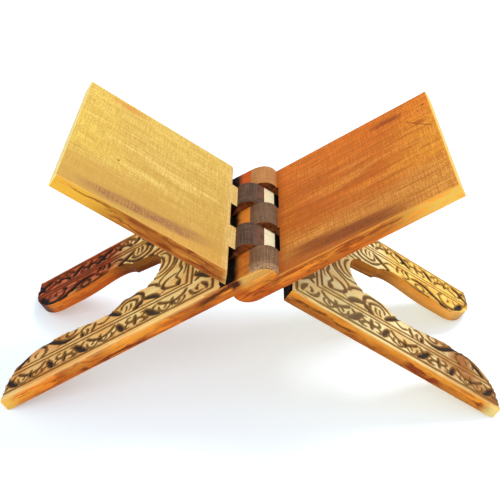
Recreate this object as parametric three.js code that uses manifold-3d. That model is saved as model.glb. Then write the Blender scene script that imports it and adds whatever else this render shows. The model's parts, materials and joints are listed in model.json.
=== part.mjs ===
// A folding stand for an open book (a rehal), in millimetres, +Z up.
// One plank is sawn through its thickness from both ends, as far as a row of knuckles that is left whole
// in the middle. That makes two boards, which the knuckles lock together with no pin, screw or glue.
// Each board is a book rest, sloping up to one side, and a pair of legs, sloping down to the other.
//
// Board frame: +X runs up the board from the hinge axis to the end of the book rest, Y runs along the
// hinge axis, and +Z is square to the board, on the side where the book lies. The rest is below Z = 0 and
// the legs are above it, and the knuckles fill both layers.
// Stand frame: the hinge axis runs along Y, straight above the origin, and the feet stand on Z = 0.

import * as THREE from 'three';
import { mergeVertices } from 'three/addons/utils/BufferGeometryUtils.js';
import Module from 'manifold-3d';

// Driving dimensions of the plank, and of the open stand
const WIDTH = 200; // along the hinge axis
const THICKNESS = 28.8;
const SAW_CUT = 0.8; // the gap between the two boards when the stand is folded
const REST_LENGTH = 195; // hinge axis to the end of a book rest
const LEG_LENGTH = 271.5; // hinge axis to the end of a foot
const OPEN_SLOPE = THREE.MathUtils.degToRad(32.7); // of both boards, with the stand open on its stop

// Knuckles, which belong to the two boards by turns
const KNUCKLES = 5;
const KNUCKLE_GAP = 0.6; // between neighbours
const ROUND_START = 4.5; // hinge axis to where a knuckle's flat face turns into its round
const ROUND_REACH = 22.9; // and to where that round meets the sawn face

// Each knuckle turns in a notch through the other board. The lower edge of a rest's notch is the stop:
// it meets the outer face of the other board's legs, and stands a third of a millimetre off it here.
const REST_NOTCH_TOP = 24; // hinge axis to the notch's edge on the book side, on the three-knuckle board
const DEEP_NOTCH_TOP = 29.5; // and on the other board, whose notches are cut back further
const REST_NOTCH_BOTTOM = 22.8; // and to its edge on the outer side, on both
const LEG_NOTCH = 28.5;

const FOOT_LAND = 2; // worn off the lower edge of each foot, measured along the board

// The opening between the feet of a board: distances from the hinge axis, and half widths
const ARCH_CROWN = 101.4;
const ARCH_END = 119;
const ARCH_HALF = 30;
const CUSP_AT = 141;
const CUSP_HALF = 33.5;
const HOLLOW_AT = 164; // where the opening is widest, behind the cusp
const HOLLOW_HALF = 44.5;
const WAIST_AT = 212; // where it is narrowest again, between the feet
const WAIST_HALF = 38;
const TOE_START = 236; // where the foot's inner edge starts to curve out to the toe
const TOE_HALF = 75; // inner end of the square toe

const CURVE_STEPS = 12;
const OVERLAP = 1; // how far a knuckle runs into the panels that it carries

const half = THICKNESS / 2;
const sawnFace = SAW_CUT / 2; // distance of each sawn face from the middle of the plank
const pitch = WIDTH / KNUCKLES;
const slope = Math.tan(OPEN_SLOPE);
const hingeHeight = (LEG_LENGTH - FOOT_LAND) * Math.sin(OPEN_SLOPE) - sawnFace * Math.cos(OPEN_SLOPE);

const wasm = await Module();
wasm.setup();

const solidOf = (geometry) => {
  geometry.deleteAttribute('normal');
  geometry.deleteAttribute('uv');
  const merged = mergeVertices(geometry, 1e-4);
  return new wasm.Manifold(
    new wasm.Mesh({
      numProp: 3,
      vertProperties: merged.attributes.position.array,
      triVerts: new Uint32Array(merged.index.array),
    }),
  );
};

const geometryOf = (solid) => {
  const { vertProperties, triVerts } = solid.getMesh();
  const shared = new THREE.BufferGeometry();
  shared.setAttribute('position', new THREE.BufferAttribute(vertProperties, 3));
  shared.setIndex(new THREE.BufferAttribute(triVerts, 1));
  const geometry = shared.toNonIndexed();
  geometry.computeVertexNormals();
  return geometry;
};

const extrude = (shape, depth) =>
  new THREE.ExtrudeGeometry(shape, { depth, bevelEnabled: false, curveSegments: CURVE_STEPS });

// A prism along the hinge axis. Its profile is drawn along the board and through its thickness.
const prism = (profile, from, to) => {
  const geometry = extrude(profile, to - from);
  geometry.rotateX(Math.PI / 2);
  geometry.translate(0, to, 0);
  return solidOf(geometry);
};

const polygon = (...points) => new THREE.Shape(points.map(([x, y]) => new THREE.Vector2(x, y)));

// The book rest, whose hinge end slopes from the notch's upper edge to its lower one.
const restPanel = (notchTop) => {
  const profile = polygon(
    [notchTop, -sawnFace],
    [REST_NOTCH_BOTTOM, -half],
    [REST_LENGTH, -half],
    [REST_LENGTH, -sawnFace],
  );
  return prism(profile, -WIDTH / 2, WIDTH / 2);
};

// One side of the opening, from the end of its arch to the toe. The side is 1 for +Y and -1 for -Y.
const openingSide = (side) => {
  const path = new THREE.Path();
  path.moveTo(-ARCH_END, side * ARCH_HALF);
  path.lineTo(-CUSP_AT, side * CUSP_HALF);
  path.quadraticCurveTo(
    -(CUSP_AT + 8),
    side * HOLLOW_HALF,
    -HOLLOW_AT,
    side * HOLLOW_HALF,
  );
  path.bezierCurveTo(
    -(HOLLOW_AT + 14),
    side * HOLLOW_HALF,
    -(WAIST_AT - 24),
    side * WAIST_HALF,
    -WAIST_AT,
    side * WAIST_HALF,
  );
  path.lineTo(-TOE_START, side * (WAIST_HALF + 0.5));
  path.bezierCurveTo(
    -(TOE_START + 16),
    side * (WAIST_HALF + 1.5),
    -(LEG_LENGTH - 3.5),
    side * (TOE_HALF - 19),
    -LEG_LENGTH,
    side * TOE_HALF,
  );
  return path.getPoints(CURVE_STEPS);
};

// The arch of the opening: half an ellipse, from its +Y end to its -Y end.
const archCurve = () => {
  const depth = ARCH_END - ARCH_CROWN;
  const curve = new THREE.EllipseCurve(-ARCH_END, 0, depth, ARCH_HALF, Math.PI / 2, -Math.PI / 2, true);
  return curve.getPoints(2 * CURVE_STEPS).slice(1, -1);
};

// Both legs of a board, drawn flat and extruded through the thickness of their leaf.
const legPanel = () => {
  const outline = [
    new THREE.Vector2(-LEG_NOTCH, -WIDTH / 2),
    new THREE.Vector2(-LEG_NOTCH, WIDTH / 2),
    new THREE.Vector2(-LEG_LENGTH, WIDTH / 2),
    ...openingSide(1).reverse(),
    ...archCurve(),
    ...openingSide(-1),
    new THREE.Vector2(-LEG_LENGTH, -WIDTH / 2),
  ];
  const geometry = extrude(new THREE.Shape(outline), half - sawnFace);
  geometry.translate(0, 0, sawnFace);
  return solidOf(geometry);
};

// A knuckle's profile, with the tabs that join it to the legs and to the rest. It is round on the book
// side and again on the underside, as a quarter of an ellipse that runs on to the sawn face.
const knuckleProfile = (notchTop) => {
  const reach = ROUND_REACH - ROUND_START;
  const dip = Math.asin(sawnFace / half);
  const sawnEnd = ROUND_START + reach * Math.cos(dip);
  const profile = new THREE.Shape();
  profile.moveTo(-LEG_NOTCH - OVERLAP, half);
  profile.lineTo(-LEG_NOTCH - OVERLAP, sawnFace);
  profile.lineTo(-sawnEnd, sawnFace);
  profile.absellipse(-ROUND_START, 0, reach, half, Math.PI - dip, 1.5 * Math.PI, false);
  profile.lineTo(notchTop + OVERLAP, -half);
  profile.lineTo(notchTop + OVERLAP, -sawnFace);
  profile.lineTo(sawnEnd, -sawnFace);
  profile.absellipse(ROUND_START, 0, reach, half, -dip, Math.PI / 2, false);
  return profile;
};

// The knuckle at the given place in the row, counted from -Y. It is flush with the plank's edges, and
// keeps clear of its neighbours.
const knuckle = (place, notchTop) => {
  const from = -WIDTH / 2 + place * pitch;
  const gapBefore = place > 0 ? KNUCKLE_GAP / 2 : 0;
  const gapAfter = place < KNUCKLES - 1 ? KNUCKLE_GAP / 2 : 0;
  return prism(knuckleProfile(notchTop), from + gapBefore, from + pitch - gapAfter);
};

// What the ground has worn off the feet: the part of the board that would reach below the ground.
const footWear = () => {
  const groundAt = (x) => sawnFace - (x + LEG_LENGTH - FOOT_LAND) * slope;
  const inner = -LEG_LENGTH + 2 * FOOT_LAND;
  const outer = -LEG_LENGTH - FOOT_LAND;
  const below = polygon([outer, groundAt(inner)], [inner, groundAt(inner)], [outer, groundAt(outer)]);
  return prism(below, -WIDTH / 2 - OVERLAP, WIDTH / 2 + OVERLAP);
};

const board = (name, places, notchTop, color) => {
  let solid = restPanel(notchTop).add(legPanel());
  for (const place of places) {
    solid = solid.add(knuckle(place, notchTop));
  }
  const material = new THREE.MeshStandardMaterial({ color, roughness: 0.45, metalness: 0 });
  const mesh = new THREE.Mesh(geometryOf(solid.subtract(footWear())), material);
  mesh.name = name;
  mesh.rotation.y = -OPEN_SLOPE;
  return mesh;
};

// The board whose rest is on the +X side holds the two outer knuckles and the middle one.
const threeKnuckleBoard = board('three_knuckle_board', [0, 2, 4], REST_NOTCH_TOP, 0xb8692c);

// The other board is turned round, so that its rest is on the -X side.
const turnedRound = new THREE.Group();
turnedRound.rotation.z = Math.PI;
turnedRound.add(board('two_knuckle_board', [1, 3], DEEP_NOTCH_TOP, 0xd9a658));

const stand = new THREE.Group();
stand.name = 'folding_book_stand';
stand.position.z = hingeHeight;
stand.add(threeKnuckleBoard, turnedRound);

export default stand;
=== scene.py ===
# A carved folding book stand (a rehal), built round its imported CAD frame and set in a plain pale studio.
#
# The boards are drawn in millimetres, each in its own board frame: X runs up the board from the hinge axis
# to the end of the book rest, Y runs along the hinge axis, and Z is square to the board, on the side where
# the book lies. They turn into metres, in the stand's frame, when they are set in place.

import json
import math
from functools import partial, reduce

import bpy
import numpy as np
from mathutils import Matrix, Vector, kdtree
from mathutils.geometry import delaunay_2d_cdt


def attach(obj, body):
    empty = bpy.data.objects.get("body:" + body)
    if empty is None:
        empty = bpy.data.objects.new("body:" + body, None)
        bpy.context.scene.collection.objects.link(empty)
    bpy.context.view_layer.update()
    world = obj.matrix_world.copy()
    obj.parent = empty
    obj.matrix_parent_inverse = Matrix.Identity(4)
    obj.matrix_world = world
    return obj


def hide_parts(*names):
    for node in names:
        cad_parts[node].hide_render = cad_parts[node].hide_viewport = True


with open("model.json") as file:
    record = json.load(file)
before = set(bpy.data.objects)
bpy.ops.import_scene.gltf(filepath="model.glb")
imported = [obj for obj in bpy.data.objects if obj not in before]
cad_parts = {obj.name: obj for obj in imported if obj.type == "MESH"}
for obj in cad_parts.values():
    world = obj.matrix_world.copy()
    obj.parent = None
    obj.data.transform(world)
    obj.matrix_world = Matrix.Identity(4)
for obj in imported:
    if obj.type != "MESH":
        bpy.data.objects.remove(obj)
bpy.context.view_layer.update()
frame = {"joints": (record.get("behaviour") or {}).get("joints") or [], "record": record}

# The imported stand
HINGE = Vector(frame["joints"][0]["pos_m"])
REST_NORMAL = next(m["axis"] for m in frame["record"]["mounts"] if m["name"] == "right_book_rest")
SLOPE = math.atan2(-REST_NORMAL[0], REST_NORMAL[2])
MM = 0.001

# The plank, in millimetres
WIDTH = 200
HALF_WIDTH = WIDTH / 2
HALF = 14.4  # half the plank's thickness
SAWN = 0.4  # from the middle of the plank to each sawn face
REST_LENGTH = 195
LEG_LENGTH = 271.5
KNUCKLES = 5
PITCH = WIDTH / KNUCKLES
KNUCKLE_GAP = 0.6
ROUND_START = 4.5
ROUND_REACH = 22.9
CHAR_START = 1.2  # hinge axis to the edge of the scorched part of a knuckle
REST_NOTCH_BOTTOM = 22.8
LEG_NOTCH = 28.5
TAB = 14  # how near the hinge axis a panel runs on, inside a knuckle
TAB_OVERLAP = 4

# The opening between the feet of a board: distances from the hinge axis, and half widths
ARCH_CROWN = 101.4
ARCH_END = 119
ARCH_HALF = 30
CUSP_AT = 141
CUSP_HALF = 33.5
HOLLOW_AT = 164
HOLLOW_HALF = 44.5
WAIST_AT = 212
WAIST_HALF = 38
TOE_START = 236
TOE_HALF = 75

# Edges rounded over by hand, as radii
LONG_EDGE = 4.2
REST_EDGE = 2.8
END_EDGE = 2.2
TOE_EDGE = 2.2
NOTCH_EDGE = 1.5
SMALL_EDGE = 0.8
KNUCKLE_EDGE = 0.6
BOTTOM_EDGE = 1.0
EASE_STEPS = 4
FULL_EDGE_FROM = 62  # hinge axis to where the rounding of a leg's long edge is full
KNUCKLE_SINK = 0.02  # a knuckle's flats below the panels' faces, so that no two faces share a plane
CORNER_CLEAR = 5  # from a square corner of a panel to the nearest point beside it
CURVE_STEPS = 24
LEG_SPACING = 0.9  # of the points along the outline of the legs
REST_SPACING = 4  # and of a rest
POINT_CLEAR = 0.5  # from a face's outline to the nearest mesh point inside it
CREASE = math.radians(48)  # a bend that is sharper than this stays a crease

# The carving
CARVED_DEPTH = 1.2
CUT_SLOPE = 1.8  # depth of a cut for each millimetre in from its edge
BURN_START = 0.5  # from the edge of a cut to where the wood round it starts to be burnt
BURN_REACH = 2.5  # and on from there, into the cut, to where it is burnt darkest
FAR_FROM_CUTS = 9.0
REAR_FADE = 20  # from the middle of the board to where the cuts reach their full width on its rear leg
FINE_STEP = 0.62  # spacing of the mesh points along the edges of the cuts
FINE_INSET = 0.35  # the middle of this band of points lies so far inside the cuts
FINE_HALF = 0.75  # half the width of the band
PLAIN_CLEAR = 1.3  # from the middle of the band to the nearest of the points elsewhere
PLAIN_STEP = 2.2
PANEL_STEP = 9

# The notches in the two rests were cut back to different lines, given here on the book side. Each board was
# carved by hand: "carving" is how much nearer the hinge and how many times wider its carving is than it is
# drawn here, on which side in Y its rear leg is, and how much further every cut reaches on that leg
BOARDS = {
    "three_knuckle_board": {"places": (0, 2, 4), "notch_top": 24, "turned": 0, "carving": (0, 1, 1, 0.35)},
    "two_knuckle_board": {"places": (1, 3), "notch_top": 29.5, "turned": 1, "carving": (3, 1.03, -1, -0.15)},
}
GLOSS = 0.06  # of all the wood

# The surroundings, in metres
FLOOR_REACH = 6
FLOOR_SURFACE = {
    "Base Color": (0.7, 0.84, 0.97, 1),
    "Roughness": 0.8,
    "Specular IOR Level": 0,
    "Emission Color": (1, 0.96, 0.93, 1),
    "Emission Strength": 0.34,
}
SURROUNDINGS = 0.72  # how bright they are
LAMP_TARGET = Vector((0, 0, 0.1))
AIM = HINGE + Vector((0.03072, 0, -0.02075))
DISTANCE = 0.945
AZIMUTH = math.radians(-2.64)
ELEVATION = math.radians(31.23)
ROLL = math.radians(2.67)
SENSOR = 36  # this and the lens are in millimetres
LENS = 70.18
LENS_SHIFT = (-0.0761, -0.0052)


# -------- outlines

def bezier(*controls):
    """Points along a Bezier curve, without its last point."""
    curve = []
    for i in range(CURVE_STEPS):
        row = [np.array(c, float) for c in controls]
        while len(row) > 1:
            row = [a + (b - a) * i / CURVE_STEPS for a, b in zip(row, row[1:])]
        curve.append(row[0])
    return curve


def opening_side():
    """The +Y side of the opening, from its crown to the toe, as (distance from the hinge, half width)."""
    depth = ARCH_END - ARCH_CROWN
    turns = [math.pi / 2 * i / CURVE_STEPS for i in range(CURVE_STEPS)]
    side = [(ARCH_END - depth * math.cos(turn), ARCH_HALF * math.sin(turn)) for turn in turns]
    side.append((ARCH_END, ARCH_HALF))
    side += bezier((CUSP_AT, CUSP_HALF), (CUSP_AT + 8, HOLLOW_HALF), (HOLLOW_AT, HOLLOW_HALF))
    hollow, waist = (HOLLOW_AT, HOLLOW_HALF), (WAIST_AT, WAIST_HALF)
    side += bezier(hollow, (HOLLOW_AT + 14, HOLLOW_HALF), (WAIST_AT - 24, WAIST_HALF), waist)
    side.append(waist)
    side += bezier(
        (TOE_START, WAIST_HALF + 0.5),
        (TOE_START + 16, WAIST_HALF + 1.5),
        (LEG_LENGTH - 3.5, TOE_HALF - 19),
        (LEG_LENGTH, TOE_HALF),
    )
    side.append((LEG_LENGTH, TOE_HALF))
    return np.array(side)


def subdivided(corners, spacing):
    """A closed outline with points about the spacing apart, but none close beside a square corner, where
    its rounding needs the room."""
    corners = np.array(corners, float)
    ahead = np.roll(corners, -1, axis=0) - corners
    lengths = np.linalg.norm(ahead, axis=1)
    ahead /= lengths[:, None]
    square = (ahead * np.roll(ahead, 1, axis=0)).sum(1) < 0.5
    clear = np.where(square, CORNER_CLEAR, 0)
    points = []
    for i, corner in enumerate(corners):
        points.append(corner)
        start = clear[i]
        stop = lengths[i] - clear[(i + 1) % len(corners)]
        pieces = max(1, math.ceil((stop - start) / spacing))
        steps = np.unique(np.linspace(start, stop, pieces + 1))
        points += [corner + ahead[i] * t for t in steps if 0 < t < lengths[i]]
    return np.array(points)


def knuckle_span(place, gap):
    """The ends, in Y, of a place in the row of knuckles. Half the gap is left free beside each neighbour."""
    low = -HALF_WIDTH + place * PITCH + (gap / 2 if place > 0 else 0)
    high = -HALF_WIDTH + (place + 1) * PITCH - (gap / 2 if place < KNUCKLES - 1 else 0)
    return low, high


def notched_end(places, notch):
    """The hinge end of a panel, from -Y to +Y: tabs run into its own knuckles, with notches between them."""
    end = []
    for place in range(KNUCKLES):
        own = place in places
        at = TAB if own else notch
        low, high = knuckle_span(place, KNUCKLE_GAP if own else -KNUCKLE_GAP)
        end += [(at, low), (at, high)]
    return end


def leg_outline(places):
    """Both legs of a board, anticlockwise."""
    side = opening_side() * (-1, 1)
    hinge_end = [(-at, y) for at, y in notched_end(places, LEG_NOTCH)]
    opening = [*side[::-1], *(side[1:] * (1, -1))]
    corners = [(-LEG_LENGTH, -HALF_WIDTH), *hinge_end, (-LEG_LENGTH, HALF_WIDTH), *opening]
    return subdivided(corners, LEG_SPACING)


def knuckle_outline():
    """A knuckle's profile, anticlockwise when Z is drawn across and X up. Its two halves are alike, each
    the other turned round the hinge axis."""
    reach = ROUND_REACH - ROUND_START
    dip = math.asin(SAWN / HALF)
    profile = [(HALF, CHAR_START), (HALF, ROUND_START)]
    for i in range(1, CURVE_STEPS + 1):
        turn = (math.pi / 2 + dip) * i / CURVE_STEPS
        profile.append((HALF * math.cos(turn), ROUND_START + reach * math.sin(turn)))
    profile += [(-SAWN - 2, ROUND_REACH - 1), (-HALF, TAB + TAB_OVERLAP)]
    return np.array(profile + [(-z, -x) for z, x in profile])


# -------- carving

class Stroke:
    """One cut of the carving: a smooth line through a few points, given as (distance from the hinge axis,
    distance from the middle of the board). It is widest in its middle, and narrows to the given shares of
    that width at its ends."""

    def __init__(self, points, width, ends=(1, 1), straight=False):
        points = np.array(points, float)
        self.line = points if straight or len(points) < 3 else smooth_line(points)
        lengths = np.linalg.norm(np.diff(self.line, axis=0), axis=1)
        share = np.concatenate([[0], np.cumsum(lengths)]) / lengths.sum()
        swell = np.sin(np.pi * share).clip(0, 1) ** 0.5
        tips = np.where(share < 0.5, ends[0], ends[1])
        self.reach = width / 2 * (tips + (1 - tips) * swell)

    def distance(self, points):
        """Distance of each point from the stroke's edge, which is negative inside the cut."""
        nearest = np.full(len(points), 99.0)
        for a, b, reach_a, reach_b in zip(self.line, self.line[1:], self.reach, self.reach[1:]):
            along = b - a
            t = np.clip((points - a) @ along / (along @ along), 0, 1)
            off = np.linalg.norm(points - a - t[:, None] * along, axis=1)
            nearest = np.minimum(nearest, off - (reach_a + (reach_b - reach_a) * t))
        return nearest


def smooth_line(points, steps=7):
    """A Catmull-Rom curve through the points."""
    padded = np.vstack([2 * points[0] - points[1], points, 2 * points[-1] - points[-2]])
    line = []
    for a, b, c, d in zip(padded, padded[1:], padded[2:], padded[3:]):
        for i in range(steps):
            t = i / steps
            bend = (2 * a - 5 * b + 4 * c - d) * t**2
            twist = (3 * b - a - 3 * c + d) * t**3
            line.append(0.5 * (2 * b + (c - a) * t + bend + twist))
    return np.array([*line, points[-1]])


def frame_strokes():
    """The straight grooves that frame the carving, and turn the corner beside the knuckles."""
    grooves = [(36.5, 92, 3.3), (60.5, 67, 2.6), (66, 61.5, 2.7)]  # from the axis, from the middle, width
    far = LEG_LENGTH + 4
    return [Stroke([(x, -1), (x, y), (far, y)], width, straight=True) for x, y, width in grooves]


def vine_motif():
    """One repeat of the vine in the outer band, which lies between 70 and 90 from the middle of the board."""
    return [
        ([(-4, 89), (4, 84), (10, 77), (15, 71)], 8.4, (0.13, 0.3)),  # leaf, with a lobe on each side
        ([(3, 72), (6, 76), (9, 79)], 4.6, (0.3, 0.3)),
        ([(8, 83), (11, 85.5), (14, 88.5)], 4.8, (0.3, 0.2)),
        ([(26, 71), (25, 80), (24, 88)], 5.2, (0.25, 0.25)),  # star, whose four hooks curl back
        ([(24, 78), (19, 79), (15, 76), (16, 72), (20, 72)], 3.4, (0.9, 0.3)),
        ([(26, 78), (31, 79), (35, 76), (34, 72), (30, 72)], 3.4, (0.9, 0.3)),
        ([(24, 81), (19, 80), (14, 83), (15, 87.5), (19, 87)], 3.4, (0.9, 0.3)),
        ([(26, 81), (31, 80), (35, 83), (34, 87.5), (30, 87)], 3.4, (0.9, 0.3)),
        ([(37, 88), (41, 81), (46, 72)], 7.6, (0.26, 0.23)),  # bud, with its hook
        ([(45, 80), (48, 84), (50, 88)], 3.4, (0.3, 0.4)),
        ([(49.5, 71.5), (53, 77), (60, 80), (67, 79.5), (74, 76), (80, 71.5)], 4.6, (0.85, 0.85)),  # cup
        ([(64, 74), (65, 80), (63, 86)], 4.8, (0.3, 0.3)),
        ([(51, 80), (50.5, 85), (55, 88.7), (60, 87), (62, 82)], 3.2, (0.5, 0.5)),  # rings under it
        ([(56, 82.5), (57, 85)], 2.9, (1, 1)),
        ([(66, 83), (68, 88), (73, 88.7), (77, 85), (79, 79)], 3.2, (0.5, 0.5)),
        ([(71, 81), (72, 84)], 2.9, (1, 1)),
    ]


def vine_strokes():
    """The vine down the outer band of each leg, and across the board beside the knuckles, with the leaves
    in the corner between them."""
    strokes = [
        Stroke([(42, 87.5), (44, 80), (49, 73)], 5, (0.33, 0.26)),
        Stroke([(46, 86), (52, 87), (58, 84), (62, 76)], 4.4, (0.2, 0.26)),
        Stroke([(52, 74), (54, 79), (52, 83)], 3.6, (0.26, 0.26)),
    ]
    for points, width, ends in vine_motif():
        strokes.append(Stroke([(128.5 - across, 68 - along) for along, across in points], width, ends))
        for start in (16, 96, 176, 256):
            moved = [(start + along, across) for along, across in points]
            if min(along for along, across in moved) > 62:
                strokes.append(Stroke(moved, width, ends))
    return strokes


def field_strokes():
    """The scrolls of the inner field: a fan round the arch, a volute beside it, and a curl at the toe."""
    shapes = [
        # Fan of long lines round the arch
        ([(97, -1), (99, 8), (104, 15)], 3.3, (1, 0.33)),
        ([(90, -1), (91, 8), (96, 16), (103, 18)], 3.3, (1, 0.33)),
        ([(84, -1), (85, 11), (90, 19), (99, 24), (112, 23.5)], 3.2, (1, 1)),
        ([(80, -1), (82, 14), (87, 22), (95, 29), (99, 36), (97, 44)], 3.3, (1, 0.33)),
        ([(74, -1), (75, 14), (76, 22), (74, 31), (79, 40), (74, 49)], 3.3, (1, 0.52)),
        ([(69.5, -1), (70, 14), (69, 30), (71, 42)], 2.6, (1, 0.2)),
        # Curl that ends in a leaf
        ([(80, 34), (88, 37), (93, 42), (94, 47), (90, 52), (83, 55), (76, 57)], 4.6, (0.33, 0.52)),
        ([(75, 49), (76, 53), (75, 57)], 6.5, (0.52, 0.39)),
        ([(77, 58), (82, 54.5), (89, 53.5), (96, 58)], 2, (0.52, 0.52)),
        ([(96, 61), (102, 55), (109, 51.5), (117, 50)], 8.2, (0.2, 0.33)),
        # Branch from the end of the arch
        ([(119, 29), (111, 31), (103, 35), (99, 42)], 4.4, (0.9, 0.39)),
        # Volute
        ([(117, 58), (116, 48), (118, 39), (124, 34.5), (131, 34), (139, 36.5), (148, 45)], 5, (0.52, 0.45)),
        ([(123, 55), (123, 46), (128, 42), (135, 41), (140, 45), (140, 51)], 4.2, (0.52, 0.33)),
        ([(130, 46), (129, 53), (131, 58)], 2.9, (0.33, 0.39)),
        ([(135, 46), (134, 53), (135, 58)], 2.3, (0.33, 0.39)),
        ([(117, 51), (121, 56), (125, 61)], 7.8, (0.33, 0.33)),
        # Long leaf from the volute to the edge, with the stalks beside it
        ([(139, 58.5), (146, 52), (152, 47), (159, 42)], 7.3, (0.2, 0.45)),
        ([(153, 50), (160, 55.5), (168, 53)], 3.6, (0.52, 0.33)),
        ([(171, 48), (171, 53), (173, 60)], 4.6, (0.33, 0.52)),
        ([(176, 47), (181, 45.5), (186, 49), (186, 54)], 3.9, (0.39, 0.39)),
        ([(180, 51), (178, 56), (180, 61)], 3.6, (0.26, 0.52)),
        ([(186, 54), (184, 58), (185, 61)], 5.7, (0.33, 0.52)),
        ([(172, 44), (184, 41.5), (196, 38.5), (212, 37)], 2.3, (0.33, 1)),
        # Ring, and the scroll that passes round it
        ([(200, 38), (195, 41), (195, 46), (200, 49), (205, 46), (205, 41), (200, 38)], 3.6, (1, 1)),
        ([(189, 52), (199, 54.5), (209, 52), (218, 46), (227, 40), (238, 36)], 7.8, (0.26, 0.45)),
        ([(203, 58), (209, 55.5), (214, 58)], 2.3, (0.26, 0.26)),
        ([(208, 41), (213, 43), (217, 40)], 2.3, (0.26, 0.26)),
        # Curl at the toe, and the leaf behind it
        ([(229, 55), (229, 48), (234, 42), (241, 40), (248, 43), (251, 49), (248, 57)], 5, (0.33, 0.45)),
        ([(224, 40), (229, 39), (234, 37)], 6, (0.4, 0.6)),
        ([(226, 52), (229, 56), (233, 61)], 4.6, (0.33, 0.39)),
        ([(238, 49), (241, 52), (240, 56)], 3.3, (0.26, 0.26)),
        ([(249, 44), (255, 51), (261, 60)], 8.5, (0.39, 0.6)),
        # Scorched rim of the toe
        ([(262, 57), (268, 66), (272, 76), (272, 94)], 3.4, (0.6, 0.6)),
    ]
    return [Stroke(*shape) for shape in shapes]


STROKES = frame_strokes() + vine_strokes() + field_strokes()


def cut_distance(points, carving):
    """Distance of each board point (X, Y) from the nearest edge of the carving, negative inside a cut."""
    nearer, wider, rear_side, bolder = carving
    drawn = np.column_stack([nearer - points[:, 0], np.abs(points[:, 1]) / wider])
    nearest = np.full(len(drawn), FAR_FROM_CUTS)
    margin = 5
    for stroke in STROKES:
        low = stroke.line.min(0) - margin
        high = stroke.line.max(0) + margin
        near = np.all((drawn > low) & (drawn < high), axis=1)
        nearest[near] = np.minimum(nearest[near], stroke.distance(drawn[near]))
    return nearest - bolder * np.clip(points[:, 1] * rear_side / REAR_FADE, 0, 1)


def carved_depth(points, carving):
    inside = np.maximum(0, -cut_distance(points, carving))
    return CARVED_DEPTH * (1 - np.exp(-inside * CUT_SLOPE / CARVED_DEPTH))


# -------- meshes

def inset(outline, distances):
    """The anticlockwise outline moved inwards, each of its points by its own distance."""
    ahead = np.roll(outline, -1, axis=0) - outline
    ahead /= np.linalg.norm(ahead, axis=1)[:, None]
    inward = np.column_stack([-ahead[:, 1], ahead[:, 0]])
    bisector = inward + np.roll(inward, 1, axis=0)
    bisector /= np.linalg.norm(bisector, axis=1)[:, None]
    spread = np.maximum((bisector * inward).sum(1), 0.6)
    return outline + bisector * (distances / spread)[:, None]


def triangles(ring, inner):
    """Triangles that fill the ring, as indices into its own points and then the inner ones."""
    points = np.vstack([ring, inner]) if len(inner) else ring
    outline = list(range(len(ring)))
    made = delaunay_2d_cdt([Vector(p) for p in points], [], [outline], 0, 1e-7, True)
    source = [ids[0] for ids in made[3]]
    return [[source[i] for i in face] for face, inside in zip(made[2], made[5]) if inside]


def eased_prism(outline, low, high, low_radius, high_radius, inner=(), relief=None):
    """A prism whose edges are rounded over. The radii are numbers, or one for each point of the outline.
    The relief, if any, gives how far each point of its upper face is cut down."""
    outline = np.array(outline, float)
    count = len(outline)
    low_radius = np.broadcast_to(low_radius, count)
    high_radius = np.broadcast_to(high_radius, count)
    turns = [math.pi / 2 * step / EASE_STEPS for step in range(EASE_STEPS + 1)]
    rows = []
    for turn in turns:
        flat = inset(outline, low_radius * (1 - math.sin(turn)))
        rows.append(np.column_stack([flat, low + low_radius * (1 - math.cos(turn))]))
    for turn in turns:
        flat = inset(outline, high_radius * (1 - math.cos(turn)))
        rows.append(np.column_stack([flat, high - high_radius * (1 - math.sin(turn))]))
    inner = spaced_inside(rows[-1][:, :2], inner) if len(inner) else np.empty((0, 2))
    rows.append(np.column_stack([inner, np.full(len(inner), high)]))
    if relief:
        for row in rows[EASE_STEPS + 1:]:
            row[:, 2] -= relief(row[:, :2])
    last = 2 * EASE_STEPS + 1
    faces = [face[::-1] for face in triangles(rows[0][:, :2], ())]
    for r in range(last):
        for i in range(count):
            j = (i + 1) % count
            faces.append([r * count + i, r * count + j, (r + 1) * count + j, (r + 1) * count + i])
    for face in triangles(rows[last][:, :2], inner):
        faces.append([last * count + i for i in face])
    return np.vstack(rows), faces


def spaced_inside(ring, points):
    """The points that are clear of the ring."""
    tree = kdtree.KDTree(len(ring))
    for i, p in enumerate(ring):
        tree.insert((p[0], p[1], 0), i)
    tree.balance()
    return np.array([p for p in points if tree.find((p[0], p[1], 0))[2] > POINT_CLEAR])


def added(name, data):
    """A new object in the scene."""
    made = bpy.data.objects.new(name, data)
    bpy.context.scene.collection.objects.link(made)
    return made


def mesh_object(name, points, faces):
    used = np.unique([i for face in faces for i in face])
    renumbered = np.zeros(len(points), int)
    renumbered[used] = np.arange(len(used))
    mesh = bpy.data.meshes.new(name)
    mesh.from_pydata(points[used].tolist(), [], [renumbered[face].tolist() for face in faces])
    return added(name, mesh)


def staggered_grid(low, high, step):
    """Rows of points that lie halfway between the points of the rows beside them."""
    rows = []
    y = low[1]
    shift = 0
    while y < high[1]:
        xs = np.arange(low[0] + shift, high[0], step)
        rows.append(np.column_stack([xs, np.full(len(xs), y)]))
        shift = step / 2 - shift
        y += step * math.sqrt(3) / 2
    return np.vstack(rows)


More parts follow.
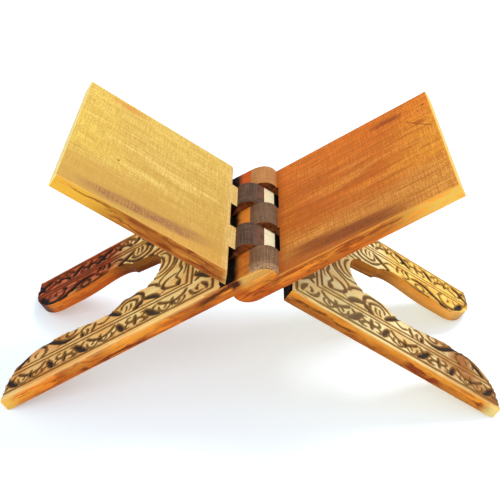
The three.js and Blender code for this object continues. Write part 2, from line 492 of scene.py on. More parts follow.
def leg_points(carving):
    """Mesh points for the carved face: close along the edges of the cuts, and sparse elsewhere."""
    low = (-LEG_LENGTH + 1, -HALF_WIDTH + 1)
    high = (-LEG_NOTCH - 1, HALF_WIDTH - 1)
    fine = staggered_grid(low, high, FINE_STEP)
    fine = fine[np.abs(cut_distance(fine, carving) + FINE_INSET) < FINE_HALF]
    plain = staggered_grid(low, high, PLAIN_STEP)
    plain = plain[np.abs(cut_distance(plain, carving) + FINE_INSET) > PLAIN_CLEAR]
    points = np.vstack([fine, plain])
    side = opening_side()
    opening = np.interp(-points[:, 0], side[:, 0], side[:, 1], left=-1)
    inside_margin = np.abs(points[:, 1]) < HALF_WIDTH - LONG_EDGE - 0.6
    return points[(np.abs(points[:, 1]) > opening + SMALL_EDGE) & inside_margin]


def edge_radii(outline, end, long_radius, end_radius, hinge_radius):
    """The rounding of a panel's upper edges: full along its long edges, and less round its two ends."""
    away = np.abs(outline[:, 0])
    places = [LEG_NOTCH + 2, LEG_NOTCH + 4, end - 8, end]
    radii = np.interp(away, places, [hinge_radius, SMALL_EDGE, SMALL_EDGE, end_radius])
    long_edge = np.abs(outline[:, 1]) > HALF_WIDTH - 1e-6
    radii[long_edge] = np.interp(away[long_edge], [end - 5, end], [long_radius, end_radius])
    return radii


def legs(places, carving):
    outline = leg_outline(places)
    radii = edge_radii(outline, LEG_LENGTH, LONG_EDGE, TOE_EDGE, SMALL_EDGE)
    away = np.abs(outline[:, 0])
    near = away < FULL_EDGE_FROM
    most = np.interp(away[near], [LEG_NOTCH, FULL_EDGE_FROM], [NOTCH_EDGE, LONG_EDGE])
    radii[near] = np.minimum(radii[near], most)
    relief = partial(carved_depth, carving=carving)
    return eased_prism(outline, SAWN, HALF, BOTTOM_EDGE, radii, leg_points(carving), relief)


def rest(places, notch_top):
    hinge_end = notched_end(places, notch_top)[::-1]
    outline = subdivided([*hinge_end, (REST_LENGTH, -HALF_WIDTH), (REST_LENGTH, HALF_WIDTH)], REST_SPACING)
    radii = edge_radii(outline, REST_LENGTH, REST_EDGE, END_EDGE, NOTCH_EDGE)
    low = (notch_top + 6, -HALF_WIDTH + LONG_EDGE + 2)
    high = (REST_LENGTH - END_EDGE - 2, HALF_WIDTH - LONG_EDGE - 2)
    inner = staggered_grid(low, high, PANEL_STEP)
    points, faces = eased_prism(outline, -HALF, -SAWN, BOTTOM_EDGE, radii, inner)
    at_notch = np.abs(points[:, 0] - notch_top) < NOTCH_EDGE + 0.1
    lean = (notch_top - REST_NOTCH_BOTTOM) / (HALF - SAWN)
    points[at_notch, 0] -= lean * (-SAWN - points[at_notch, 2])
    return points, faces


def knuckle(place):
    """One knuckle. An end that is flush with the side of the plank is rounded over as the long edges are."""
    low, high = knuckle_span(place, KNUCKLE_GAP)
    outline = knuckle_outline()
    z, x = outline.T
    flush = np.where(z > -SAWN, np.interp(x, [-4, 8], [NOTCH_EDGE, LONG_EDGE]), BOTTOM_EDGE)
    low_radius = flush if place == 0 else KNUCKLE_EDGE
    high_radius = flush if place == KNUCKLES - 1 else KNUCKLE_EDGE
    points, faces = eased_prism(outline, low, high, low_radius, high_radius)
    points = points[:, [1, 2, 0]]
    points[:, 2] *= 1 - KNUCKLE_SINK / HALF
    return points, faces


def joined(name, parts):
    """One watertight object from overlapping parts."""
    objects = [mesh_object(f"{name}_{i}", *part) for i, part in enumerate(parts)]
    first = objects[0]
    for other in objects[1:]:
        union = first.modifiers.new("union", "BOOLEAN")
        union.operation = "UNION"
        union.solver = "MANIFOLD"
        union.object = other
    graph = bpy.context.evaluated_depsgraph_get()
    mesh = bpy.data.meshes.new_from_object(first.evaluated_get(graph))
    mesh.materials.clear()
    for o in objects:
        bpy.data.objects.remove(o)
    return added(name, mesh)


def read(collection, field):
    """A vector field of a mesh, as rows of three numbers."""
    values = np.empty(len(collection) * 3, np.float32)
    collection.foreach_get(field, values)
    return values.reshape(-1, 3)


def write_attribute(mesh, name, kind, field, values):
    attribute = mesh.attributes.new(name, kind, "POINT")
    attribute.data.foreach_set(field, np.ascontiguousarray(values, np.float32).ravel())


def add_attributes(mesh, turned, carving):
    """What the materials need to know at each point: its place in the plank, how burnt the carving is, and
    how far it lies on a rounded edge, which is painted paler: partly wear, partly a painted highlight."""
    points = read(mesh.vertices, "co")
    normals = read(mesh.vertex_normals, "vector")
    side = -1 if turned else 1
    write_attribute(mesh, "plank", "FLOAT_VECTOR", "vector", points * (1, side, side))
    write_attribute(mesh, "height", "FLOAT", "value", points[:, 2] + np.where(points[:, 0] > 0, HALF, 0))
    top = (points[:, 0] < -LEG_NOTCH - 2) & (points[:, 2] > HALF - 3)
    distance = np.where(top, cut_distance(points[:, :2], carving), FAR_FROM_CUTS)
    write_attribute(mesh, "burn", "FLOAT", "value", np.clip((BURN_START - distance) / BURN_REACH, 0, 1))
    write_attribute(mesh, "worn_and_highlit", "FLOAT", "value", edge_wear_and_highlight(points, normals, top))


def edge_wear_and_highlight(points, normals, top):
    """How far each point is on a rounded edge, 0 to 1: a panel's by its slant, a knuckle's by its place.
    These edges are painted paler, partly as wear and partly as a painted highlight.
    """
    worn_and_highlit = np.clip((1 - np.abs(normals).max(1)) / 0.25, 0, 1)
    worn_and_highlit *= np.clip(3 * np.abs(normals[:, 2]) - 0.3, 0, 1)
    away = np.abs(points[:, 0])
    side = np.abs(points[:, 1])
    worn_and_highlit[top & (side < HALF_WIDTH - 6)] = 0
    at_knuckle = away < ROUND_REACH + 0.5
    turned = normals[at_knuckle, 1] ** 2
    flush = side[at_knuckle] > HALF_WIDTH - LONG_EDGE
    worn_and_highlit[at_knuckle] = np.where(flush, 4 * turned * (1 - turned), 0)
    return worn_and_highlit


def face_regions(mesh):
    """Which finish each face has, by its place in FINISHES."""
    number = {finish: i for i, finish in enumerate(FINISHES)}
    centres = read(mesh.polygons, "center")
    normals = read(mesh.polygons, "normal")
    x, y, z = centres.T
    up = normals[:, 2]
    region = np.full(len(centres), number["edge"])
    on_rest = x > ROUND_REACH - 1
    region[on_rest & (np.abs(up) > 0.6)] = number["book_face"]
    region[(x < -ROUND_REACH) & (up < -0.6)] = number["book_face"]
    carved = (x < -LEG_NOTCH) & (z > HALF - 3) & (np.abs(y) < HALF_WIDTH - 1.3)
    region[carved & (up > 0.1)] = number["carved"]
    inside = np.abs(y) < HALF_WIDTH - LONG_EDGE - 0.3
    near = np.abs(x) < ROUND_REACH + 0.2
    sideways = np.abs(normals[:, 1]) > 0.7
    upper_round = near & (z > SAWN - 1) & (x > CHAR_START)
    lower_round = near & (z < 1 - SAWN) & (x < -CHAR_START)
    region[(upper_round | lower_round) & ~sideways] = number["charred"]
    flat = (z > HALF - 0.7) & (x > -LEG_NOTCH) & (x < CHAR_START)
    region[flat & (inside | (up > 0.6))] = number["knuckle_flat"]
    region[sideways & inside & near] = number["knuckle_end"]
    leg_side = (x < -ROUND_REACH) & (x > -LEG_NOTCH - 1)
    rest_side = (x > ROUND_REACH - 1) & (x < LEG_NOTCH + 1.5)
    region[(leg_side | rest_side) & inside & sideways] = number["notch"]
    facing_hinge = np.abs(normals[:, 0]) > 0.7
    at_notch = (leg_side & (z > SAWN)) | (rest_side & (z < -SAWN))
    region[facing_hinge & at_notch] = number["notch"]
    return region


def smooth_shading(made):
    """Smooth faces with sharp creases, and flat panels that stay flat up to their rounded edges."""
    mesh = made.data
    mesh.shade_smooth()
    mesh.set_sharp_from_angle(angle=CREASE)
    weighted = made.modifiers.new("flat_panels", "WEIGHTED_NORMAL")
    weighted.keep_sharp = True


def set_in_place(made, turned):
    """Puts a board into the stand, in metres, with its feet flat on the ground."""
    place = Matrix.Translation(HINGE) @ Matrix.Rotation(math.pi * turned, 4, "Z")
    place = place @ Matrix.Rotation(-SLOPE, 4, "Y") @ Matrix.Scale(MM, 4)
    made.data.transform(place)
    points = read(made.data.vertices, "co")
    points[:, 2] = np.maximum(points[:, 2], 0)
    made.data.vertices.foreach_set("co", points.ravel())
    made.data.update()


# -------- materials

def tone(code):
    """A colour from its code, such as "c98a3c", as the shader wants it."""
    levels = [int(code[i:i + 2], 16) / 255 for i in (0, 2, 4)]
    return (*[c / 12.92 if c <= 0.04045 else ((c + 0.055) / 1.055) ** 2.4 for c in levels], 1)


class Finish:
    """A material that is built up in layers of colour. Lengths in it are millimetres in the plank. Wherever
    a node takes a value, that value may be a socket, a number, a colour's code, or the name of any of these
    in the board's tones."""

    def __init__(self, name, tones):
        self.tones = tones
        self.material = bpy.data.materials.new(name)
        self.material.use_nodes = True
        self.tree = self.material.node_tree
        self.surface = self.tree.nodes["Principled BSDF"].inputs
        self.surface["Specular IOR Level"].default_value = GLOSS
        self.plank = self.attribute("plank", "Vector")
        self.along, self.across, self.through = self.node("SeparateXYZ", {0: self.plank})

    def connect(self, socket, value):
        if isinstance(value, bpy.types.NodeSocket):
            self.tree.links.new(value, socket)
            return
        if isinstance(value, str):
            value = self.tones.get(value, value)
        socket.default_value = tone(value) if isinstance(value, str) else value

    def node(self, kind, values, **settings):
        """The outputs of a new node, which has the given settings, and the given values at its inputs."""
        made = self.tree.nodes.new(f"ShaderNode{kind}")
        for setting, value in settings.items():
            setattr(made, setting, value)
        for socket, value in values.items():
            self.connect(made.inputs[socket], value)
        return made.outputs

    def attribute(self, name, output="Fac"):
        return self.node("Attribute", {}, attribute_name=name)[output]

    def math(self, operation, a, b=0.0):
        return self.node("Math", {0: a, 1: b}, operation=operation)[0]

    def plus(self, *terms):
        return reduce(partial(self.math, "ADD"), terms)

    def minus(self, a, b):
        return self.math("SUBTRACT", a, b)

    def times(self, *factors):
        return reduce(partial(self.math, "MULTIPLY"), factors)

    def noise(self, wave, detail=3, distortion=0.0, offset=(0, 0, 0)):
        """Noise whose waves have the given lengths along the plank, across it and through it."""
        scale = {0: self.plank, 1: [1 / w for w in wave], 2: offset}
        place = self.node("VectorMath", scale, operation="MULTIPLY_ADD")[0]
        values = {"Vector": place, "Scale": 1, "Detail": detail, "Distortion": distortion}
        return self.node("TexNoise", values)["Fac"]

    def wander(self, reach, *noise):
        """Noise about zero, that goes no further than half the reach to either side."""
        return self.times(self.minus(self.noise(*noise), 0.5), reach)

    def ramp(self, value, low, high):
        """0 below low and 1 above high, or the reverse where low is the greater."""
        values = {"Value": value, "From Min": min(low, high), "From Max": max(low, high)}
        values |= {"To Min": low > high, "To Max": low < high}
        return self.node("MapRange", values, interpolation_type="SMOOTHSTEP")["Result"]

    def patches(self, low, high, *noise):
        """Patches of noise: 0 where it is below low, and 1 where it is above high."""
        return self.ramp(self.noise(*noise), low, high)

    def hill(self, value, middle, half_width, soft):
        """1 within half_width of the middle, and 0 beyond the soft border round it."""
        away = self.math("ABSOLUTE", self.minus(value, middle))
        return self.ramp(away, half_width + soft, half_width)

    def mix(self, share, a, b):
        return self.node("Mix", {"Factor": share, "A": a, "B": b}, data_type="RGBA")["Result"]

    def base(self, share, light, dark):
        """The first layer of colour, from light to dark."""
        self.shade = self.mix(share, light, dark)

    def lay(self, color, *shares):
        """Covers the colour so far with another, by the product of the shares."""
        self.shade = self.mix(self.times(*shares), self.shade, color)

    def grain(self, light, dark):
        """Bare wood as the first layer: growth bands, and fibres that run along the plank."""
        bands = self.patches(0.34, 0.66, (170, 13, 11), 3, 0.8)
        fibres = self.patches(0.33, 0.68, (34, 1.1, 1.1), 4)
        self.base(self.plus(self.times(bands, 0.6), self.times(fibres, 0.4)), light, dark)
        return fibres

    def bump(self, height, depth, **below):
        """A bumpy normal. The depth is in millimetres."""
        normal = self.node("Bump", {"Distance": depth * MM, "Height": height} | below)[0]
        self.connect(self.surface["Normal"], normal)
        return normal

    def roughness(self, value):
        self.connect(self.surface["Roughness"], value)

    def finished(self):
        self.connect(self.surface["Base Color"], self.shade)
        return self.material


def book_face(wood):
    """The sawn and varnished faces: fine cross-hatching and, on the rests, a rosy streak and a few knots."""
    across = wood.across
    fibres = wood.grain("face_light", "face_dark")
    wood.lay("face_blotch", wood.patches(0.42, 0.62, (60, 34, 20), 4, 0.6, (3, 5, 1)), 0.6)
    wood.lay("face_pale", wood.patches(0.50, 0.64, (110, 17, 20), 3, 0.5, (8, 2, 6)), 0.55)
    drift = wood.wander(70, (50, 40, 20))
    along = wood.plus(wood.along, drift)
    wood.lay("face_far", wood.ramp(along, 125, 195), 0.75)
    wood.lay("face_rear", wood.ramp(wood.plus(across, drift), 10, 95), 0.7)
    wood.lay("face_front", wood.ramp(wood.plus(across, wood.times(drift, 0.4)), -25, -70), 0.8)
    wood.lay("face_brim", wood.ramp(across, -76, -90), wood.ramp(along, 150, 80), 0.7)
    wood.lay("face_line", wood.patches(0.52, 0.70, (46, 1.8, 2), 4, 0.3, (7, 1, 3)), "line_share")
    add_streak(wood)
    rim = wood.tones["notch_rim"]
    wood.lay("face_hinge", wood.ramp(wood.along, rim + 9, rim), 0.6)
    saw = wood.noise((1.1, 26, 9), 2, 0.2)
    scrape = wood.noise((40, 1.2, 9), 2, 0.2, (0, 0, 7))
    speckle = wood.noise((1.3, 1.3, 1.3), 1)
    weave = wood.plus(saw, scrape, speckle)
    hatch = wood.ramp(weave, 1.3, 1.7)
    wood.lay("hatch", hatch, "hatch_share")
    for knot in wood.tones["knots"]:
        add_knot(wood, *knot)
    for crack in wood.tones["face_cracks"]:
        add_crack(wood, *crack)
    # The rounded edges, painted paler: partly wear, partly a painted highlight
    wood.lay("ridge_wear_and_highlight", wood.ramp(wood.attribute("worn_and_highlit"), 0.35, 0.95), 0.6)
    wood.bump(fibres, 0.12, Normal=wood.bump(weave, 0.14))
    wood.roughness(wood.plus(0.42, wood.times(hatch, 0.16)))


def add_streak(wood):
    """The long rosy streak beside the front edge, which it nears towards the far end of the rest."""
    middle, lean, half_width, soft = wood.tones["streak_line"]
    start, end = wood.tones["streak_ends"]
    offset = wood.plus(wood.across, wood.wander(12, (70, 30, 20), 3), wood.times(wood.along, lean))
    line = wood.hill(offset, middle, half_width, soft)
    begun = wood.ramp(wood.along, start - 50, start)
    not_ended = wood.ramp(wood.along, end + 48, end)
    fibres = wood.patches(0.2, 0.6, (30, 2.6, 2), 4, 0, (1, 1, 1))
    wood.lay("streak", line, begun, not_ended, wood.plus(0.68, wood.times(fibres, 0.3)))


def add_knot(wood, at, radius, stretch, color):
    """A knot, soft at its rim, and drawn out along the grain by the given factor."""
    x = wood.times(wood.minus(wood.along, at[0]), 1 / stretch)
    y = wood.minus(wood.across, at[1])
    away = wood.math("SQRT", wood.plus(wood.times(x, x), wood.times(y, y)))
    ragged = wood.plus(away, wood.wander(radius, (5, 4, 4), 3))
    wood.lay(color, wood.ramp(ragged, radius, radius * 0.2), 0.8)


def add_crack(wood, start, end, color):
    """A thin dark crack between two points of the board."""
    length = math.dist(start, end)
    x, y = (end[0] - start[0]) / length, (end[1] - start[1]) / length
    ahead = wood.minus(wood.along, start[0])
    aside = wood.minus(wood.across, start[1])
    offset = wood.minus(wood.times(aside, x), wood.times(ahead, y))
    travel = wood.plus(wood.times(ahead, x), wood.times(aside, y))
    line = wood.hill(wood.plus(offset, wood.wander(6, (9, 9, 9), 3)), 0, 0.3, 0.9)
    wood.lay(color, line, wood.hill(travel, length / 2, length / 2 - 4, 6), 0.6)


def edge_wood(wood):
    """The sides of the boards: stained, streaked along the grain, and paler along their rounded edges, partly
    worn and partly a painted highlight. The stain is thinnest, and the wood brightest, at the ends of the
    rests and of the feet."""
    along, across = wood.along, wood.across
    height = wood.attribute("height")
    fibres = wood.grain("edge_light", "edge_dark")
    wood.lay("edge_end", wood.ramp(along, 112, 178), 0.9)
    wood.lay("edge_toe", wood.ramp(along, -205, -240), 0.85)
    stained = wood.ramp(along, 170, 90)
    stain = wood.patches(0.46, 0.60, (34, 14, 4), 5, 0.6, (9, 0, 4))
    wood.lay("edge_stain", stain, stained, 0.7)
    wood.lay("edge_glow", wood.patches(0.50, 0.64, (30, 12, 4), 4, 0.5, (3, 7, 1)), 0.6)
    # Darker towards the lower face of the sides
    wood.lay("edge_stain", wood.ramp(wood.plus(height, wood.times(stain, 4)), 9, 2), stained, 0.6)
    wood.lay("edge_speck", wood.hill(along, -56, 14, 20), 0.35)
    specks = wood.patches(0.50, 0.62, (9, 3, 1.6), 5, 0.2, (2, 2, 2))
    clusters = wood.patches(0.42, 0.60, (30, 20, 8), 3, 0.3, (4, 4, 4))
    wood.lay("edge_speck", specks, clusters, stained, 0.8)
    # The rear leg's walls: on the three-knuckle board darker, partly stain and partly the painted shadow of
    # the other board's rest, and nearly black at the toe; on the two-knuckle board golden, partly painted
    # light where the lamp leaves them in shade
    rear = wood.times(wood.ramp(across, 20, 50), wood.ramp(along, -140, -190), 0.7)
    wood.lay("rear_wall_light_and_shade", rear)
    wood.lay("edge_stain", rear, wood.ramp(height, 10, 2), 0.7)
    wood.lay("brown_char_and_shade", wood.ramp(across, 20, 38), wood.ramp(along, -243, -257), "toe_char_and_shadow")
    golden = wood.hill(along, -120, wood.tones["golden_reach"], 30)
    wood.lay("edge_toe", golden, wood.ramp(height, 3, 11), 0.6)
    # Darker round the crown of the opening
    in_opening = wood.ramp(wood.math("ABSOLUTE", across), 70, 55)
    wood.lay("crack", in_opening, wood.hill(along, -128, 25, 26), "arch_darkening")
    wood.lay("crack", wood.patches(0.66, 0.74, (60, 3, 1.9), 3, 0.5, (0, 2, 9)), stained, 0.75)
    wood.lay("rest_end", wood.ramp(along, -250, -268), wood.ramp(across, 20, -20), 0.75)
    for scar in wood.tones["scars"]:
        add_scar(wood, height, *scar)
    wood.lay("knuckle_top", wood.hill(along, 6, 12, 9), wood.ramp(wood.through, 0, 11), 0.45)
    # The rounded edges, painted paler: partly rubbed wear, partly a painted highlight
    rub = wood.patches(0.25, 0.55, (26, 8, 8), 4, 0, (5, 5, 5))
    worn_and_highlit = wood.attribute("worn_and_highlit")
    wood.lay("worn_and_highlit", worn_and_highlit, rub, wood.ramp(along, -22, -34), "leg_rub_and_highlight")
    wood.lay("ridge_wear_and_highlight", wood.ramp(worn_and_highlit, 0.35, 0.95), wood.ramp(along, 21, 24), rub, 0.65)
    wood.lay("rest_end", wood.ramp(along, 193.4, 194.4), 0.9)
    if wood.tones["split"]:
        add_split(wood)
    wood.bump(fibres, 0.25)
    wood.roughness(wood.plus(0.42, wood.times(stain, 0.15)))


def add_scar(wood, height, middle, reach, level, thick, color):
    """A dark, broken line in the front of a board, at a level above its lower face."""
    ragged = wood.plus(height, wood.wander(8, (16, 6, 4), 4, 0, (2, 0, 5)))
    line = wood.times(wood.hill(ragged, level, thick, 1.3), wood.hill(wood.along, middle, reach, 12))
    broken = wood.patches(0.36, 0.52, (20, 5, 6), 4, 0, (6, 3, 2))
    wood.lay(color, line, broken, wood.ramp(wood.across, -90, -96), 0.85)


def add_split(wood):
    """The old split in the front of the plank, which starts in a hole beside the hinge axis."""
    along = wood.along
    height = wood.plus(wood.through, wood.wander(5, (7, 5, 2.5), 4), wood.times(along, -0.09))
    hole = wood.times(wood.hill(height, 11.6, 1.4, 2.6), wood.hill(along, -15, 2.2, 5))
    stretch = wood.times(wood.ramp(along, -62, -46), wood.ramp(along, -9, -13))
    line = wood.times(wood.hill(height, 13.0, 1.1, 1.8), stretch, 0.85)
    wood.lay("crack", wood.math("MAXIMUM", hole, line), wood.ramp(wood.across, -90, -96))


def carved_wood(wood):
    """The carved faces: pale wood left standing, thin cuts burnt brown, and broad ones nearly black."""
    along = wood.along
    fibres = wood.grain("carved_light", "carved_dark")
    tint = wood.patches(0.40, 0.60, (40, 22, 20), 4, 0.5, (1, 8, 2))
    wood.lay("carved_tint", tint, 0.65)
    uneven = wood.plus(0.55, wood.times(tint, 0.45))
    wood.lay("carved_toe", wood.ramp(along, -90, -245), uneven, "toe_share")
    # The rear leg: on the three-knuckle board, stain and the painted shadow of the other board's rest darken
    # it and turn its cuts nearly black
    rear = wood.times(wood.ramp(wood.across, 20, 50), wood.ramp(along, -132, -176), "rear_stain_and_shadow")
    flecks = wood.patches(0.42, 0.62, (15, 5, 5), 4, 0.4, (4, 1, 7))
    wood.lay(wood.mix(flecks, "rear_tone_and_shadow", "rear_fleck"), rear)
    burn = wood.attribute("burn")
    smoke = wood.noise((7, 5, 5), 3)
    faded = wood.times(wood.ramp(along, -165, -60), "fade")
    # charred: the rear leg's cuts turned nearly black, partly char and partly painted shadow
    charred = wood.times(rear, "toe_char_and_shadow")
    scorched = wood.mix(wood.ramp(smoke, 0.35, 0.65), "burnt_dark", "burnt_light")
    scorched = wood.mix(wood.ramp(burn, 0.68, 0.95), scorched, "burnt_deep")
    scorched = wood.mix(faded, scorched, "burnt_faded")
    scorched = wood.mix(charred, scorched, "black_char_and_shade")
    thin = wood.mix(faded, wood.mix(charred, "burnt_thin", "rear_tone_and_shadow"), "burnt_faded")
    ragged = wood.plus(burn, wood.times(wood.minus(smoke, 0.5), 0.3))
    wood.lay(wood.mix(charred, "singed", "rear_tone_and_shadow"), wood.ramp(ragged, 0.02, 0.24), 0.6)
    wood.lay(thin, wood.ramp(ragged, 0.16, 0.34), 0.85)
    wood.lay(scorched, wood.ramp(ragged, 0.38, 0.75))
    # The rounded margin, painted paler: partly wear, partly a painted highlight
    wood.lay("worn_and_highlit", wood.attribute("worn_and_highlit"), "leg_rub_and_highlight")
    wood.bump(fibres, 0.2)
    wood.roughness(wood.plus(0.5, wood.times(burn, 0.2)))


def charred_wood(wood):
    """The knuckles' rounds: scorched, with fine scratches round them and grain that shows through. The
    outer end of the front knuckle is rubbed to pale specks."""
    across = wood.across
    scratches = wood.noise((1.0, 30, 1.0), 3, 0.3)
    lines = wood.noise((14, 1.0, 14), 2, 0.2)
    lightness = wood.plus(wood.times(scratches, 0.5), wood.times(lines, 0.5))
    wood.base(wood.ramp(lightness, 0.32, 0.70), "char_dark", "char_light")
    near_flat = wood.ramp(wood.math("ABSOLUTE", wood.along), 15, 3)
    redness = wood.plus(0.12, wood.times(near_flat, 0.68))
    wood.lay("char_patch", wood.patches(0.30, 0.62, (8, 14, 8), 4, 0.4), redness)
    wood.lay("char_dark", wood.hill(across, 0, 22, 3), 0.4)
    streaky = wood.plus(0.65, wood.times(wood.ramp(lightness, 0.38, 0.6), 0.35))
    wood.lay("rear_round_tone", wood.ramp(across, 58, 62), streaky, "rear_round")
    specks = wood.patches(0.40, 0.62, (1.3, 1.3, 1.3), 2)
    wood.lay("char_rub", wood.ramp(across, -82, -97), specks, 0.6)
    wood.bump(lightness, 0.25)
    wood.roughness(0.6)


def knuckle_flat(wood):
    """The flat faces of the knuckles: stained wood on one board, and on the other bare wood painted pale
    cream, partly as painted light, since those flats face the light; on both scorched nearly black towards
    the legs."""
    across = wood.across
    fibres = wood.grain("flat_light", "flat_dark")
    wood.lay("edge_stain", wood.patches(0.46, 0.66, (9, 9, 9), 4, 0.5, (6, 1, 0)), "flat_stain")
    wood.lay("flat_middle", wood.hill(across, 0, 22, 3), "flat_stain", 0.8)
    wood.lay("flat_rear", wood.ramp(across, 55, 62), "flat_stain")
    ragged = wood.times(wood.noise((5, 6, 5), 3), wood.tones["flat_stain"] * 6)
    wood.lay("black_char_and_shade", wood.ramp(wood.plus(wood.along, ragged), *wood.tones["flat_scorch"]))
    wood.bump(fibres, 0.15)
    wood.roughness(0.6)


def knuckle_end(wood):
    """The ends of the knuckles: red-brown grain, with patches nearly black."""
    fibres = wood.grain("end_light", "end_dark")
    wood.lay("black_char_and_shade", wood.patches(0.40, 0.66, (8, 9, 8), 4), 0.7)
    wood.bump(fibres, 0.2)
    wood.roughness(0.7)


def notch_wood(wood):
    """The cut ends and the insides of the notches, painted nearly black as the shade in these recesses."""
    wood.base(wood.patches(0.42, 0.70, (6, 9, 5), 4), "black_char_and_shade", "brown_char_and_shade")
    wood.bump(wood.noise((1.3, 1.3, 1.3), 3), 0.3)
    wood.roughness(0.75)


FINISHES = {
    "book_face": book_face,
    "edge": edge_wood,
    "carved": carved_wood,
    "charred": charred_wood,
    "knuckle_flat": knuckle_flat,
    "knuckle_end": knuckle_end,
    "notch": notch_wood,
}

# Colours, as codes, that the two boards share
SHARED_TONES = {
    "burnt_deep": "33271f",
    "burnt_dark": "50361c",
    "burnt_light": "7a5228",
    "burnt_thin": "7e5828",
    "burnt_faded": "9c8258",
    "singed": "b07a38",
    "crack": "441e0e",
    # Nearly black and dark brown: char, and the painted shade in the notches
    "black_char_and_shade": "120a07",
    "brown_char_and_shade": "3a1c10",
    "end_light": "a05a2c",
    "end_dark": "6a3416",
    "knuckle_top": "e4c46b",
    "flat_middle": "e88e32",
    "flat_rear": "cb440a",
    "rear_round_tone": "c48648",
}

# What differs, as (three-knuckle board, two-knuckle board): colours, shares, and places in the plank
PAIRED_TONES = {
    # The sawn faces
    "face_light": ("d97924", "e0bf64"),
    "face_dark": ("a55315", "ba9643"),
    "face_blotch": ("bc5e1a", "d1aa52"),
    "face_pale": ("e5993f", "f2d97c"),
    "face_far": ("eca434", "e5c656"),
    "face_rear": ("e37a1b", "e8ca65"),
    "face_front": ("d19344", "c5974a"),
    "face_brim": ("a04a1c", "d8a04e"),
    "face_line": ("914914", "a87c34"),
    "face_hinge": ("984612", "eccc8c"),
    "streak": ("743d1c", "8a5240"),
    "hatch": ("a35616", "bb9243"),
    "ridge_wear_and_highlight": ("e29a4c", "e1b062"),
    "line_share": (0.85, 0.35),
    "hatch_share": (0.62, 0.78),
    "notch_rim": (24, 29.5),  # hinge axis to the edge of the notches
    "streak_line": ((-73, 0.12, 5, 10), (-69, 0.12, 4, 8)),  # place across, lean, half width, softness
    "streak_ends": ((62, 118), (85, 145)),  # hinge axis to where it is full, and to where it starts to fade
    "knots": (  # place, radius, drawn out by this factor, colour
        [
            ((150, 77), 9, 3.0, "8e3c14"),
            ((180, 42), 6, 1.5, "a05018"),
            ((188, 73), 2.4, 1.2, "6a2c10"),
            ((181, 66), 2.0, 1.2, "6a2c10"),
        ],
        [
            ((148, -22.5), 2.2, 1.0, "5a3410"),
            ((152, 90), 8, 3.5, "cf8c40"),
        ],
    ),
    "face_cracks": ([((166, 56), (191, 22), "6a2c10")], []),  # from, to, colour
    # The sides of the boards
    "edge_light": ("d4822c", "c0762a"),
    "edge_dark": ("a85c1d", "97511c"),
    "edge_end": ("eebc50", "edb33a"),
    "edge_toe": ("ffa838", "eb9027"),
    "edge_stain": ("ae4711", "984e1a"),
    "edge_glow": ("fc922c", "e59c3c"),
    "edge_speck": ("853712", "733310"),
    # Rear walls: partly painted shadow on the three-knuckle board, partly painted light on the two-knuckle
    # board
    "rear_wall_light_and_shade": ("cc6428", "fcbe5d"),
    "rest_end": ("f0c058", "f6e08c"),
    # The rounded edges, painted paler: partly wear, partly a painted highlight
    "worn_and_highlit": ("fbd288", "f4cc7c"),
    "leg_rub_and_highlight": (0.6, 0.65),
    "arch_darkening": (0.75, 0.42),
    # Nearly black rear toe: char, and on the three-knuckle board the painted shadow of the other rest
    "toe_char_and_shadow": (0.9, 0.25),
    "golden_reach": (12, 90),  # half length of the golden part beside the opening
    "scars": (  # middle, half length, level, half thickness, colour
        [
            (-150, 30, 3.5, 0.8, "5a2010"),
            (75, 60, 10.2, 0.3, "8a4018"),
        ],
        [
            (-68, 28, 7.5, 0.7, "5a2810"),
            (-182, 14, 5, 2.4, "7a2410"),
            (100, 72, 10.0, 0.4, "84461a"),
            (80, 50, 4.0, 0.4, "7a3410"),
        ],
    ),
    "split": (True, False),
    # The carved faces
    "carved_light": ("fff1aa", "ffffc6"),
    "carved_dark": ("ffce7a", "ffeaa2"),
    "carved_tint": ("f8b967", "ffde8a"),
    "carved_toe": ("d07326", "9d5a28"),
    "toe_share": (0.65, 1.0),
    # The rear leg, darker on the three-knuckle board partly as the painted shadow of the other board's rest
    "rear_stain_and_shadow": (0.92, 0.75),
    "rear_tone_and_shadow": ("6f1a04", "ffc34a"),
    "rear_fleck": ("cd5322", "ffe670"),
    "fade": (0.15, 0.85),  # of the burns, towards the knuckles
    # The knuckles
    "char_dark": ("554031", "372b23"),
    "char_light": ("937152", "684e3f"),
    "char_patch": ("6f4732", "78503c"),
    "char_rub": ("d0a878", "c09a70"),
    "rear_round": (0.75, 0.0),
    # The two-knuckle board's pale cream flats: bare wood, and partly painted light
    "flat_light": ("c2752b", "ece2c5"),
    "flat_dark": ("9e5416", "dfcea2"),
    "flat_stain": (0.6, 0.0),
    "flat_scorch": ((-5, -13), (-10.2, -10.8)),  # from here to here they turn black
}


# -------- the stand

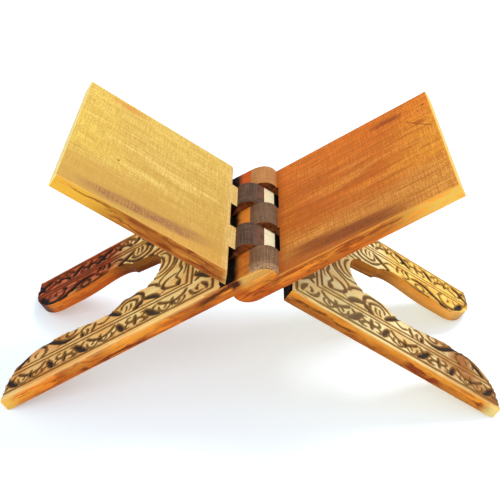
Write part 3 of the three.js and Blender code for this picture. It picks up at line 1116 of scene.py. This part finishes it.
def board(name, places, notch_top, turned, carving):
    """A finished board, in its place in the stand. Turned is 1 for the board that is turned round, or 0."""
    tones = SHARED_TONES | {key: pair[turned] for key, pair in PAIRED_TONES.items()}
    made = joined(f"carved_{name}", [legs(places, carving), rest(places, notch_top), *map(knuckle, places)])
    for finish, build_up in FINISHES.items():
        wood = Finish(f"{name}_{finish}", tones)
        build_up(wood)
        made.data.materials.append(wood.finished())
    made.data.polygons.foreach_set("material_index", face_regions(made.data).astype(np.int32))
    add_attributes(made.data, turned, carving)
    set_in_place(made, turned)
    smooth_shading(made)
    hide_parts(name)
    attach(made, name)


def floor():
    """A plain pale floor. It glows a little, so that the shadows on it stay soft."""
    corners = np.array([(-1, -1, 0), (1, -1, 0), (1, 1, 0), (-1, 1, 0)])
    made = mesh_object("floor", FLOOR_REACH * corners, [[0, 1, 2, 3]])
    material = bpy.data.materials.new("pale_paper")
    material.use_nodes = True
    surface = material.node_tree.nodes["Principled BSDF"]
    for setting, value in FLOOR_SURFACE.items():
        surface.inputs[setting].default_value = value
    made.data.materials.append(material)


def lamp(name, place, size, power):
    """A round lamp that faces the stand."""
    light = bpy.data.lights.new(name, "AREA")
    light.shape = "DISK"
    light.size = size
    light.energy = power
    made = added(name, light)
    made.location = place
    made.rotation_mode = "QUATERNION"
    made.rotation_quaternion = (LAMP_TARGET - Vector(place)).to_track_quat("-Z", "Y")


def studio():
    """White surroundings, with a large soft lamp high up behind the stand on its right-hand side, and a
    weaker one in front of it on the left."""
    world = bpy.data.worlds.new("studio")
    world.use_nodes = True
    background = world.node_tree.nodes["Background"]
    background.inputs["Color"].default_value = (1, 1, 1, 1)
    background.inputs["Strength"].default_value = SURROUNDINGS
    bpy.context.scene.world = world
    lamp("key", (0.9, 0.7, 2.0), 1.0, 27)
    lamp("fill", (-0.5, -1.6, 1.5), 1.2, 13)
    bpy.context.scene.view_settings.view_transform = "Standard"


def camera():
    """Stands in front, a little to the left of the middle, and looks down on the stand."""
    turn = Matrix.Rotation(AZIMUTH, 4, "Z") @ Matrix.Rotation(math.pi / 2 - ELEVATION, 4, "X")
    turn = turn @ Matrix.Rotation(ROLL, 4, "Z")
    data = bpy.data.cameras.new("camera")
    data.sensor_width = SENSOR
    data.lens = LENS
    data.shift_x, data.shift_y = LENS_SHIFT
    made = added("camera", data)
    made.matrix_world = Matrix.Translation(AIM) @ turn @ Matrix.Translation((0, 0, DISTANCE))
    bpy.context.scene.camera = made


camera()
studio()
floor()
for board_name, layout in BOARDS.items():
    board(board_name, **layout)
